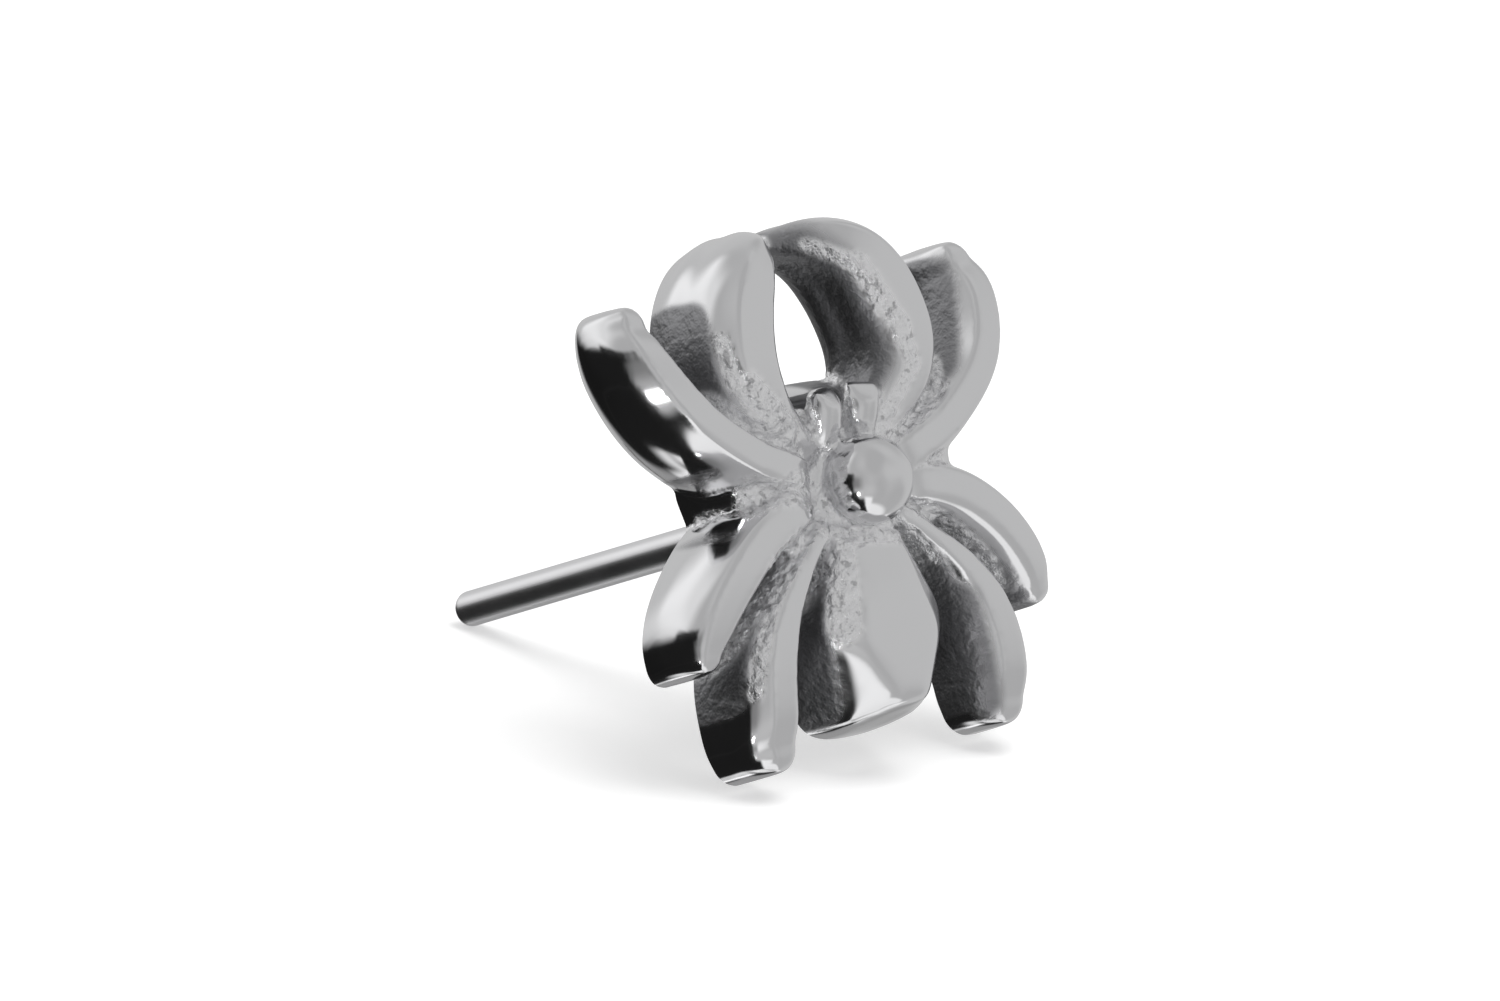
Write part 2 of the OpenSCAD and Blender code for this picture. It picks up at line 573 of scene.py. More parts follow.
@dataclass
class Legs:
    """The four pairs of legs, from the head down, each from its root to its tip."""

    curled: Sequence[Station] = (
        Station(0.62, 0.66, 0.66, 1.42),
        Station(1.18, 1.25, 0.98, 1.62),
        Station(1.60, 1.72, 1.30, 1.80),
        Station(1.79, 2.30, 1.47, 1.88),
        Station(1.73, 2.87, 1.49, 1.90),
        Station(1.53, 3.40, 1.42, 1.90),
        Station(1.18, 3.87, 1.20, 1.84),
        Station(0.69, 4.18, 0.85, 1.55),
        Station(0.22, 4.29, 0.44, 0.86),
    )
    raised: Sequence[Station] = (
        Station(0.86, 0.37, 0.66, 1.08),
        Station(1.08, 0.45, 0.84, 1.58),
        Station(1.50, 0.60, 0.98, 1.74),
        Station(2.22, 0.90, 1.02, 1.80),
        Station(3.03, 1.49, 1.03, 1.83),
        Station(3.48, 2.06, 1.03, 1.79),
        Station(3.74, 2.67, 1.02, 1.66),
        Station(3.80, 3.08, 0.96, 1.50),
        Station(3.77, 3.32, 0.86, 1.32),
    )
    lowered: Sequence[Station] = (
        Station(0.86, 0.02, 0.66, 1.08),
        Station(1.12, 0.00, 0.80, 1.54),
        Station(1.58, -0.06, 0.94, 1.72),
        Station(2.30, -0.34, 1.03, 1.72),
        Station(2.96, -0.83, 1.04, 1.65),
        Station(3.45, -1.33, 1.01, 1.50),
        Station(3.71, -1.73, 0.91, 1.36),
        Station(3.80, -2.00, 0.74, 1.22),
    )
    trailing: Sequence[Station] = (
        Station(0.80, -0.35, 0.46, 1.52),
        Station(1.36, -0.80, 0.48, 1.56),
        Station(1.98, -1.40, 0.72, 1.57),
        Station(2.38, -2.00, 0.98, 1.54),
        Station(2.59, -2.60, 1.10, 1.47),
        Station(2.65, -3.15, 1.12, 1.37),
        Station(2.65, -3.46, 1.11, 1.24),
        Station(2.64, -3.66, 1.02, 1.12),
    )

    def build(self) -> list[bpy.types.Object]:
        """Builds the four pairs.

        Returns:
            A closed shell for each pair.
        """
        pairs = [
            Ribbon("curled_legs", self.curled, draft=-0.57, splay=(0.19, 0.03), edge=0.17, fall=0.34),
            Ribbon("raised_legs", self.raised, draft=-0.50, splay=(-0.26, -0.08), edge=0.19),
            Ribbon("lowered_legs", self.lowered, draft=-0.19, tip=0.43),
            Ribbon("trailing_legs", self.trailing, draft=0.09, splay=(0.05, 0), tip=0.43),
        ]
        return [pair.build() for pair in pairs]


@dataclass
class Body:
    """The abdomen, the web behind the head and the roof below the palps.

    Args:
        abdomen: The abdomen's cross-sections, from the head down.
        facets: Its facets, polished by hand. Those off the middle have a mirror image.
        web: The cross-sections of the web, from the middle to the side.
        roof: The cross-sections of the roof, from its upper edge down.
        grid: The grid of the abdomen's new mesh when its corners are rounded.
        rounding: How often that mesh is smoothed.
    """

    abdomen: Sequence[Station] = (
        Station(0, 0.10, 1.44, 1.20),
        Station(0, -0.60, 1.50, 1.52),
        Station(0, -1.00, 1.70, 1.62),
        Station(0, -1.40, 2.20, 1.72),
        Station(0, -1.80, 2.58, 1.76),
        Station(0, -2.30, 2.70, 1.75),
        Station(0, -2.80, 2.66, 1.74),
        Station(0, -3.20, 2.42, 1.72),
        Station(0, -3.46, 2.08, 1.71),
        Station(0, -3.62, 1.52, 1.70),
        Station(0, -3.70, 0.70, 1.70),
    )
    facets: Sequence[Facet] = (
        Facet((0.66, -2.00, 1.75), (0.465, 0.12, 0.87)),
        Facet((1.05, -2.82, 1.18), (0.90, -0.38, 0.22)),
        Facet((0.80, -2.55, 1.72), (0.72, -0.45, 0.53)),
        Facet((0.70, -3.72, 1.14), (0.34, -0.94, 0.08)),
        Facet((0.00, -3.42, 1.72), (0.00, -0.98, 0.17)),
    )
    web: Sequence[Station] = (
        Station(-0.10, 0.195, 2.11, 1.14),
        Station(0.86, 0.195, 2.11, 1.16),
        Station(1.30, 0.24, 2.05, 1.46),
        Station(1.90, 0.42, 1.74, 1.50),
        Station(2.20, 0.36, 1.24, 1.46),
        Station(2.38, 0.33, 0.92, 1.32),
        Station(2.49, 0.31, 0.62, 1.12),
    )
    roof: Sequence[Station] = (
        Station(0, 2.07, 3.10, 0.02),
        Station(0, 1.90, 2.90, 0.70),
        Station(0, 1.55, 2.50, 1.22),
        Station(0, 1.05, 1.90, 1.46),
        Station(0, 0.60, 1.60, 1.46),
    )
    grid: float = 0.07
    rounding: int = 50

    def build(self) -> list[bpy.types.Object]:
        """Builds the abdomen, the web and the roof.

        Returns:
            A closed shell for each.
        """
        abdomen = Ribbon(
            "abdomen", self.abdomen, draft=0.02, edge=0, tip=0, mirrored=False, levels=0, behind=0.4
        )
        web = Ribbon("web", self.web, draft=0.05, edge=0.10, fall=0.20, bulge=0, crown=0, tip=0)
        roof = Ribbon("roof", self.roof, edge=0, tip=0, mirrored=False, steps=1)
        belly = round_off(self.cut_facets(abdomen.build()), self.grid, self.rounding)
        return [belly, web.build(), roof.build()]

    def cut_facets(self, piece: bpy.types.Object) -> bpy.types.Object:
        """Cuts the facets off both sides of the abdomen.

        Args:
            piece: The abdomen with its full outline.

        Returns:
            The same object.
        """
        with editing(piece):
            for place, normal in self.facets:
                for side in (1, -1) if normal[0] else (1,):
                    cut_off((place[0] * side, *place[1:]), (normal[0] * side, *normal[1:]))
        return piece


@dataclass(frozen=True)
class Ball:
    """A ball on the body, flattened along the way out of the back.

    Args:
        name: Its name.
        radius: Its radius.
        height: The height of its centre above the flat back.
        flatness: Its thickness as a part of its width.
        above: How far its centre lies above the pin's axis.
    """

    name: str
    radius: float
    height: float
    flatness: float
    above: float = 0.18

    def build(self) -> bpy.types.Object:
        """Builds the ball.

        Returns:
            A closed shell.
        """
        centre = (0, self.above, self.height)
        deselect_all()
        bpy.ops.mesh.primitive_uv_sphere_add(
            segments=64, ring_count=32, radius=self.radius, location=centre
        )
        piece = bpy.context.object
        piece.name = self.name
        bpy.ops.object.transform_apply(location=True, rotation=True, scale=True)
        with editing(piece):
            bpy.ops.mesh.select_all(action="SELECT")
            bpy.ops.transform.resize(value=(1, 1, self.flatness), center_override=centre)
        return piece


@dataclass
class Head:
    """The ball head and the low mound of the neck that it sits in."""

    ball: Ball = Ball("head", radius=0.74, height=1.79, flatness=0.97)
    neck: Ball = Ball("neck", radius=0.98, height=1.10, flatness=0.46)

    def build(self) -> list[bpy.types.Object]:
        """Builds the ball and the mound."""
        return [self.ball.build(), self.neck.build()]


@dataclass
class Palps:
    """The two stubby palps above the head, each an egg shape with a slanted cut end.

    Args:
        radius: Half the thickness of the egg shape.
        foot: Its lower end.
        top: Its upper end.
        cuts: The flat cuts on its end and along its front.
        grid: The grid of its new mesh when its corners are rounded.
        rounding: How often that mesh is smoothed.
    """

    radius: float = 0.30
    foot: Vector = Vector((0.40, 0.66, 1.32))
    top: Vector = Vector((0.45, 2.16, 1.92))
    cuts: Sequence[Facet] = (
        Facet((0.45, 1.78, 1.60), (0.10, 0.95, 0.29)),
        Facet((0.42, 1.42, 1.94), (-0.20, 0.50, 0.84)),
    )
    grid: float = 0.04
    rounding: int = 5

    def build(self) -> bpy.types.Object:
        """Builds one palp and its mirror image.

        Returns:
            Their closed shells, as one object.
        """
        along = self.top - self.foot
        deselect_all()
        bpy.ops.mesh.primitive_uv_sphere_add(
            segments=32,
            ring_count=16,
            radius=self.radius,
            location=(self.foot + self.top) / 2,
            rotation=along.to_track_quat("Z", "Y").to_euler(),
        )
        piece = bpy.context.object
        piece.name = "palps"
        piece.scale.z = along.length / 2 / self.radius
        bpy.ops.object.transform_apply(location=True, rotation=True, scale=True)
        with editing(piece):
            for place, normal in self.cuts:
                cut_off(place, normal)
        round_off(piece, self.grid, self.rounding)
        add_mirror_image(piece)
        face_outwards(piece)
        return piece


@dataclass(frozen=True)
class Wheel:
    """The rim of a polishing wheel, which leaves the grooves that it can't enter.

    Args:
        surface: The finish of the spots out of reach.
        radius: Radius of the rim, in mm.
        fade: Width of the border between the two finishes, as a part of the radius.
        slope: It always reaches a spot whose normal leans out more than this.
        slope_fade: Width of the border below that slope.
        touch: The part of its radius that has to be free before it reaches a spot.
    """

    surface: Surface
    radius: float
    fade: float
    slope: float
    slope_fade: float = 0.2
    touch: float = 0.97

    def missed(self, tree: BVHTree, place: Vector, normal: Vector) -> float:
        """Says how far a spot is out of reach, from 0 to 1.

        Args:
            tree: The casting's surface.
            place: The spot.
            normal: The surface's normal there.

        Returns:
            0 where the rim touches the spot, and 1 where it can't.
        """
        centre = place + normal * self.radius
        gap = tree.find_nearest(centre)[3]
        share = clamp((self.touch - gap / self.radius) / self.fade)
        return share * clamp((self.slope - normal.z) / self.slope_fade)


@dataclass
class Polishing:
    """Marks which spots of the casting are polished, satin or left as cast.

    Args:
        wheels: The wheels, each with the finish of the spots that it can't reach.
        stretches: The stretches finished by hand, in their order.
        border: How steep a stretch's edge is. At 3, its outer third fades.
        spreading: How often each finish is blurred over the mesh.
        grain_size: Size of the lumps of the cast skin.
        grain_depth: How far the lumps stand up or go in, in all.
    """

    wheels: Sequence[Wheel] = (
        Wheel(Surface.GRAINY, 0.20, 0.30, 2.0),
        # Its satin share also darkens the colour there: painted shade on the walls in the gaps.
        Wheel(Surface.SATIN, 0.78, 0.14, 0.45),
    )
    # The satin stretches below also carry the painted shade of the satin walls.
    stretches: Sequence[Stretch] = (
        Stretch(Surface.SATIN, 1, (0.30, 3.75, 1.00), (0.95, 3.40, 1.00), 0.92),
        Stretch(Surface.SATIN, 1, (0.95, 3.40, 1.00), (1.05, 2.20, 1.00), 0.96),
        Stretch(Surface.SATIN, 1, (0.30, 3.75, 0.20), (0.95, 3.40, 0.20), 0.95),
        Stretch(Surface.SATIN, 1, (0.95, 3.40, 0.20), (1.05, 2.00, 0.20), 0.96),
        Stretch(Surface.SATIN, 1, (3.15, 3.10, 1.05), (2.60, 1.75, 1.25), 0.55),
        Stretch(Surface.SATIN, 1, (1.95, -2.00, 1.10), (2.02, -3.60, 0.95), 0.52),
        Stretch(Surface.SATIN, 0, (0.00, 0.17, 1.80), (0.00, 0.19, 1.80), 1.30),
        Stretch(Surface.SATIN, 0, (-2.30, 0.30, 0.10), (-2.30, 0.30, 1.30), 0.95),
        Stretch(Surface.SATIN, 0, (2.30, 0.30, 0.10), (2.30, 0.30, 1.30), 0.95),
        Stretch(Surface.SATIN, 0, (-0.42, 1.00, 1.70), (-0.42, 1.80, 1.80), 0.45),
        Stretch(Surface.SATIN, 0, (0.42, 1.00, 1.70), (0.42, 1.80, 1.80), 0.45),
        Stretch(Surface.GRAINY, 0, (0.00, 0.18, 1.90), (0.00, 0.18, 2.00), 1.10),
        Stretch(Surface.GRAINY, 1, (0.39, 4.08, 1.30), (1.00, 3.62, 1.80), 0.17),
        Stretch(Surface.GRAINY, 1, (1.00, 3.62, 1.80), (1.50, 2.52, 1.84), 0.22),
        Stretch(Surface.GRAINY, 1, (1.50, 2.52, 1.84), (1.58, 1.85, 1.76), 0.22),
        Stretch(Surface.GRAINY, 1, (1.58, 1.85, 1.76), (0.83, 0.92, 1.46), 0.18),
        Stretch(Surface.GRAINY, 1, (2.34, 1.50, 1.62), (1.02, 0.77, 1.56), 0.14),
        Stretch(Surface.GRAINY, 1, (-2.36, 2.85, 1.70), (-2.32, 2.03, 1.68), 0.17),
        Stretch(Surface.GRAINY, 1, (-2.13, 2.05, 1.78), (-1.33, 1.23, 1.60), 0.30),
        Stretch(Surface.GRAINY, 1, (-0.72, 0.15, 1.42), (-0.58, -0.30, 1.42), 0.20),
        Stretch(Surface.GRAINY, 1, (-2.45, 0.20, 0.32), (-2.30, 0.28, 1.45), 0.14),
        Stretch(Surface.GRAINY, 1, (-2.30, 0.28, 1.45), (-1.44, 0.26, 1.66), 0.36),
        Stretch(Surface.GRAINY, 1, (-1.44, 0.26, 1.66), (-1.00, 0.15, 1.40), 0.32),
        Stretch(Surface.GRAINY, 1, (-0.80, -0.50, 1.40), (0.50, -0.66, 1.45), 0.34),
        Stretch(Surface.GRAINY, 1, (-0.75, -0.90, 1.46), (-1.05, -2.05, 1.52), 0.34),
        Stretch(Surface.GRAINY, 1, (-1.70, -0.42, 1.64), (-2.50, -0.78, 1.60), 0.14),
        Stretch(Surface.GRAINY, 1, (-1.70, -0.86, 1.40), (-2.80, -2.12, 1.32), 0.20),
        Stretch(Surface.GRAINY, 1, (-2.80, -2.12, 1.32), (-3.04, -2.73, 1.20), 0.17),
        Stretch(Surface.GRAINY, 1, (1.10, -0.52, 1.46), (2.63, -1.16, 1.22), 0.11),
        Stretch(Surface.GRAINY, 1, (1.00, -0.75, 1.42), (1.48, -1.30, 1.34), 0.12),
    )
    border: float = 3
    spreading: int = 2
    grain_size: float = 0.15
    grain_depth: float = 0.11

    def by_hand(self, surface: Surface, share: float, place: Vector) -> float:
        """Changes a spot's share of a finish where it was worked by hand.

        Args:
            surface: The finish.
            share: Its share after the wheels.
            place: The spot.

        Returns:
            Its share after the work by hand.
        """
        for stretch in self.stretches:
            if stretch.surface is surface:
                start, end = Vector(stretch.start), Vector(stretch.end)
                along = end - start
                part = clamp((place - start).dot(along) / along.length_squared)
                apart = (place - start - along * part).length
                inside = clamp((1 - apart / stretch.radius) * self.border)
                share += (stretch.share - share) * inside
        return share

    def mark(self, piece: bpy.types.Object) -> None:
        """Stores each finish in a vertex group, and in an attribute named after it.

        Args:
            piece: The casting.
        """
        mesh = piece.data
        shape = bmesh.new()
        shape.from_mesh(mesh)
        tree = BVHTree.FromBMesh(shape)
        shape.free()
        for wheel in self.wheels:
            group = piece.vertex_groups.new(name=wheel.surface.value)
            for vertex in mesh.vertices:
                share = wheel.missed(tree, vertex.co, vertex.normal)
                share = self.by_hand(wheel.surface, share, vertex.co)
                group.add([vertex.index], share, "REPLACE")
            piece.vertex_groups.active_index = group.index
            with editing(piece):
                bpy.ops.mesh.select_all(action="SELECT")
                bpy.ops.object.vertex_group_smooth(
                    group_select_mode="ACTIVE", factor=0.5, repeat=self.spreading
                )
        found = [{g.group: g.weight for g in vertex.groups} for vertex in mesh.vertices]
        for wheel in self.wheels:
            index = piece.vertex_groups[wheel.surface.value].index
            shares = [weights.get(index, 0.0) for weights in found]
            attribute = mesh.attributes.new(f"{wheel.surface.value}_share", "FLOAT", "POINT")
            attribute.data.foreach_set("value", shares)

    def roughen(self, piece: bpy.types.Object) -> None:
        """Raises the lumps of the spots that are left as cast.

        Args:
            piece: The casting, with its vertex groups.
        """
        lumps = bpy.data.textures.new("lumps", "CLOUDS")
        lumps.noise_scale = self.grain_size
        lumps.noise_depth = 1
        apply_modifier(
            piece,
            "DISPLACE",
            texture=lumps,
            texture_coords="LOCAL",
            vertex_group=Surface.GRAINY.value,
            strength=self.grain_depth,
            mid_level=0.5,
        )


@dataclass
class Casting:
    """The whole spider: its shells joined into one skin, smoothed and cut flat.

    Args:
        place: Its own frame.
        voxel: The grid of its mesh, in mm.
        smoothing: How often the mesh is smoothed.
        slot: The record's material slot. Not used.
        polishing: How its surface is finished.
    """

    place: CastingFrame
    voxel: float = 0.048
    smoothing: int = 10
    slot: str = "cast_steel"
    polishing: Polishing = field(default_factory=Polishing)

    def join(self, shells: list[bpy.types.Object]) -> bpy.types.Object:
        """Joins the shells into one object.

        Args:
            shells: The shells, which may overlap.

        Returns:
            The object that holds them all.
        """
        make_active(shells[0])
        for shell in shells:
            shell.select_set(True)
        bpy.ops.object.join()
        piece = bpy.context.object
        piece.name = "spider_casting"
        return piece

    def build(self) -> bpy.types.Object:
        """Builds the casting and makes it stand for its CAD node.

        Returns:
            The finished piece.
        """
        shells = [*Legs().build(), *Body().build(), *Head().build(), Palps().build()]
        piece = round_off(self.join(shells), self.voxel, self.smoothing)
        self.polishing.mark(piece)
        self.polishing.roughen(piece)
        with editing(piece):
            cut_off(place=(0, 0, 0), normal=(0, 0, -1))
        lay_down(piece, self.place)
        piece.data.materials.append(CastSteel().make())
        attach(piece, "root")
        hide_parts("spider")
        return piece


@dataclass
class Pin:
    """The drawn wire pin, with its rounded end.

    Args:
        place: The casting's frame, which it stands in.
        radius: Its radius.
        straight: Its length without the tip.
        reach: The length of the tip.
        rounding: The radius of the tip's edge.
        sides: The number of its sides.
        segments: The number of steps of the rounded edge.
        slot: The record's material slot. Not used.
    """

    place: CastingFrame
    radius: float
    straight: float
    reach: float = 0.15
    rounding: float = 0.20
    sides: int = 96
    segments: int = 8
    slot: str = "drawn_steel"

    @classmethod
    def from_record(cls, place: CastingFrame, record: dict) -> Pin:
        """Reads the pin's size from the record's pin mount.

        Args:
            place: The casting's frame.
            record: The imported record.

        Returns:
            The pin.
        """
        size = pin_mount(record)["dims"]
        return cls(place, radius=size["r_mm"], straight=size["length_mm"])

    def build(self) -> bpy.types.Object:
        """Builds the pin and makes it stand for its CAD node.

        Returns:
            The finished piece.
        """
        length = self.straight + self.reach
        deselect_all()
        bpy.ops.mesh.primitive_circle_add(
            vertices=self.sides, radius=self.radius, fill_type="NGON", location=(0, 0, 0)
        )
        piece = bpy.context.object
        piece.name = "drawn_pin"
        with editing(piece):
            bpy.ops.mesh.select_all(action="SELECT")
            bpy.ops.mesh.extrude_region_move(TRANSFORM_OT_translate={"value": (0, 0, -length)})
            select_edges(piece, lambda edge: max(v.co.z for v in edge.verts) < TINY - length)
            bpy.ops.mesh.bevel(offset=self.rounding, segments=self.segments)
        face_outwards(piece)
        lay_down(piece, self.place)
        piece.data.materials.append(DrawnSteel(self.place).make())
        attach(piece, "root")
        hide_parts("pin")
        return piece


def lay_down(piece: bpy.types.Object, place: CastingFrame) -> None:
    """Scales a piece from millimetres to metres, lays it where it rests and shades it.

    Args:
        piece: The piece.
        place: The casting's frame.
    """
    make_active(piece)
    piece.matrix_world = place.matrix()
    bpy.ops.object.transform_apply(location=True, rotation=True, scale=True)
    bpy.ops.object.shade_smooth_by_angle(angle=SMOOTH_BELOW)


@dataclass
class Wiring:
    """A node tree being wired up."""

    tree: bpy.types.NodeTree

    def feed(self, node: bpy.types.Node, inputs: dict) -> None:
        """Sets a node's sockets, or links them.

        Args:
            node: The node.
            inputs: What goes into its sockets: sockets of other nodes or values.
        """
        for name, value in inputs.items():
            if isinstance(value, bpy.types.NodeSocket):
                self.tree.links.new(value, node.inputs[name])
            else:
                node.inputs[name].default_value = value

    def add(self, kind: str, inputs: dict | None = None, **settings: object) -> bpy.types.Node:
        """Adds a node.

        Args:
            kind: Blender's name for the kind of node.
            inputs: What goes into its sockets: sockets of other nodes or values.
            **settings: The node's own settings.

        Returns:
            The node.
        """
        node = self.tree.nodes.new(kind)
        for name, value in settings.items():
            setattr(node, name, value)
        self.feed(node, inputs or {})
        return node

    def math(self, operation: str, *terms: object) -> bpy.types.NodeSocket:
        """Adds a Math node and gives its result."""
        return self.add("ShaderNodeMath", dict(enumerate(terms)), operation=operation).outputs[0]

    def ramp(
        self, value: bpy.types.NodeSocket, low: float, high: float, start: float, end: float
    ) -> bpy.types.NodeSocket:
        """Maps a value smoothly from one range to another.

        Args:
            value: The value.
            low: Where the range starts.
            high: Where it ends.
            start: The result at its start.
            end: The result at its end.

        Returns:
            The mapped value.
        """
        inputs = {"Value": value, "From Min": low, "From Max": high, "To Min": start, "To Max": end}
        node = self.add("ShaderNodeMapRange", inputs, interpolation_type="SMOOTHSTEP")
        return node.outputs["Result"]

    def blend(self, share: object, low: object, high: object) -> bpy.types.NodeSocket:
        """Blends two values by a share."""
        node = self.add("ShaderNodeMix", {0: share, 2: low, 3: high}, data_type="FLOAT")
        return node.outputs[0]

    def tint(self, share: object, low: object, high: object) -> bpy.types.NodeSocket:
        """Blends two colours by a share."""
        node = self.add("ShaderNodeMix", {0: share, 6: low, 7: high}, data_type="RGBA")
        return node.outputs[2]

    def noise(self, coords: bpy.types.NodeSocket, size: float, detail: float) -> bpy.types.NodeSocket:
        """Adds a noise of a given lump size in metres."""
        inputs = {"Vector": coords, "Scale": 1 / size, "Detail": detail, "Roughness": 0.6}
        return self.add("ShaderNodeTexNoise", inputs).outputs[0]

    def bump(
        self,
        height: bpy.types.NodeSocket,
        depth: float,
        strength: object,
        under: bpy.types.NodeSocket | None = None,
    ) -> bpy.types.NodeSocket:
        """Adds a bump.

        Args:
            height: The height, from 0 to 1.
            depth: What a height of 1 measures, in metres.
            strength: Its strength.
            under: The normal of the bump that it lies on.

        Returns:
            The normal.
        """
        inputs = {"Strength": strength, "Distance": depth, "Height": height}
        if under is not None:
            inputs["Normal"] = under
        return self.add("ShaderNodeBump", inputs).outputs[0]


def new_material(name: str) -> tuple[bpy.types.Material, Wiring, bpy.types.Node]:
    """Adds a material with a Principled shader.

    Args:
        name: Its name.

    Returns:
        The material, its wiring and its shader.
    """
    material = bpy.data.materials.new(name)
    material.use_nodes = True
    shader = material.node_tree.nodes["Principled BSDF"]
    return material, Wiring(material.node_tree), shader


@dataclass(frozen=True)
class CastSteel:
    """Cast steel: a mirror where the wheel reached, satin in the gaps, grainy in the grooves, with
    painted shade on the satin walls and in the pits of the cast skin.

    Args:
        colour: Colour of the mirror.
        satin_shade: Colour of the satin walls: painted shade, darker than the mirror.
        skin: Colour of the cast skin.
        pore_shade: Colour of painted shade in the pits of the cast skin.
        polished: Roughness of the mirror.
        satin: Roughness of the satin walls.
        grainy: Roughness of the cast skin.
        unevenness: How much the roughness varies.
        wave_size: Size of the waves that polishing leaves.
        wave_depth: Their depth.
        pit_size: Size of the pits.
        pit_depth: Their depth in the satin walls.
        grain_size: Size of the cast skin's fine grain.
        grain_depth: Its depth.
    """

    colour: tuple[float, float, float] = (0.74, 0.74, 0.75)
    satin_shade: tuple[float, float, float] = (0.30, 0.30, 0.31)
    skin: tuple[float, float, float] = (0.90, 0.90, 0.91)
    pore_shade: tuple[float, float, float] = (0.55, 0.55, 0.56)
    polished: float = 0.11
    satin: float = 0.46
    grainy: float = 0.32
    unevenness: float = 0.06
    wave_size: float = 0.9 * MM
    wave_depth: float = 0.008 * MM
    pit_size: float = 0.16 * MM
    pit_depth: float = 0.03 * MM
    grain_size: float = 0.075 * MM
    grain_depth: float = 0.045 * MM

    def make(self) -> bpy.types.Material:
        """Makes the material.

        Returns:
            The material.
        """
        material, wiring, shader = new_material("cast_steel")
        coords = wiring.add("ShaderNodeTexCoord").outputs["Object"]
        grainy, satin = (
            wiring.add("ShaderNodeAttribute", attribute_name=f"{surface.value}_share").outputs["Fac"]
            for surface in (Surface.GRAINY, Surface.SATIN)
        )
        waves = wiring.noise(coords, self.wave_size, detail=1.0)
        grain = wiring.noise(coords, self.grain_size, detail=3.0)
        pits = wiring.noise(coords, self.pit_size, detail=2.0)
        rough = wiring.blend(satin, self.polished, self.satin)
        rough = wiring.blend(grainy, rough, self.grainy)
        off = wiring.math("SUBTRACT", pits, 0.5)
        rough = wiring.math("MULTIPLY_ADD", off, self.unevenness, rough)
        # Painted shade: darker specks in the pits of the cast skin.
        deep = wiring.ramp(pits, low=0.32, high=0.44, start=1.0, end=0.0)
        pore_shade_share = wiring.math("MULTIPLY", deep, grainy)
        # Painted shade: the satin walls in the gaps that the wheel can't reach get a darker colour.
        satin_shade_share = wiring.math("MULTIPLY", satin, wiring.math("SUBTRACT", 1.0, grainy))
        colour = wiring.tint(satin_shade_share, (*self.colour, 1), (*self.satin_shade, 1))
        colour = wiring.tint(grainy, colour, (*self.skin, 1))
        colour = wiring.tint(pore_shade_share, colour, (*self.pore_shade, 1))
        normal = wiring.bump(waves, self.wave_depth, strength=1.0)
        normal = wiring.bump(pits, self.pit_depth, strength=satin, under=normal)
        normal = wiring.bump(grain, self.grain_depth, strength=grainy, under=normal)
        looks = {"Metallic": 1.0, "Base Color": colour, "Roughness": rough, "Normal": normal}
        wiring.feed(shader, looks)
        return material


@dataclass(frozen=True)
class DrawnSteel:
    """Drawn wire: polished, with faint marks along it from the drawing die.

    Args:
        place: The casting's frame, which the wire stands in.
        colour: Its colour.
        polished: Its roughness.
        unevenness: How much the roughness varies.
        smear_size: Size of the smears that it varies with.
        mark_size: Width of the die's marks.
        mark_length: Their length.
        mark_depth: Their depth.
    """

    place: CastingFrame
    colour: tuple[float, float, float] = (0.80, 0.80, 0.81)
    polished: float = 0.33
    unevenness: float = 0.10
    smear_size: float = 0.6 * MM
    mark_size: float = 0.035 * MM
    mark_length: float = 3.0 * MM
    mark_depth: float = 0.002 * MM

    def make(self) -> bpy.types.Material:
        """Makes the material.

        Returns:
            The material.
        """
        material, wiring, shader = new_material("drawn_steel")
        coords = wiring.add("ShaderNodeTexCoord").outputs["Object"]
        along = wiring.add(
            "ShaderNodeMapping",
            {
                "Vector": coords,
                "Location": self.place.root,
                "Rotation": self.place.matrix().to_euler(),
                "Scale": (self.mark_size, self.mark_size, self.mark_length),
            },
            vector_type="TEXTURE",
        ).outputs[0]
        marks = wiring.noise(along, size=1.0, detail=2.0)
        off = wiring.math("SUBTRACT", wiring.noise(coords, self.smear_size, detail=2.0), 0.5)
        rough = wiring.math("MULTIPLY_ADD", off, self.unevenness, self.polished)
        normal = wiring.bump(marks, self.mark_depth, strength=0.5)
        colour = (*self.colour, 1)
        looks = {"Metallic": 1.0, "Base Color": colour, "Roughness": rough, "Normal": normal}
        wiring.feed(shader, looks)
        return material


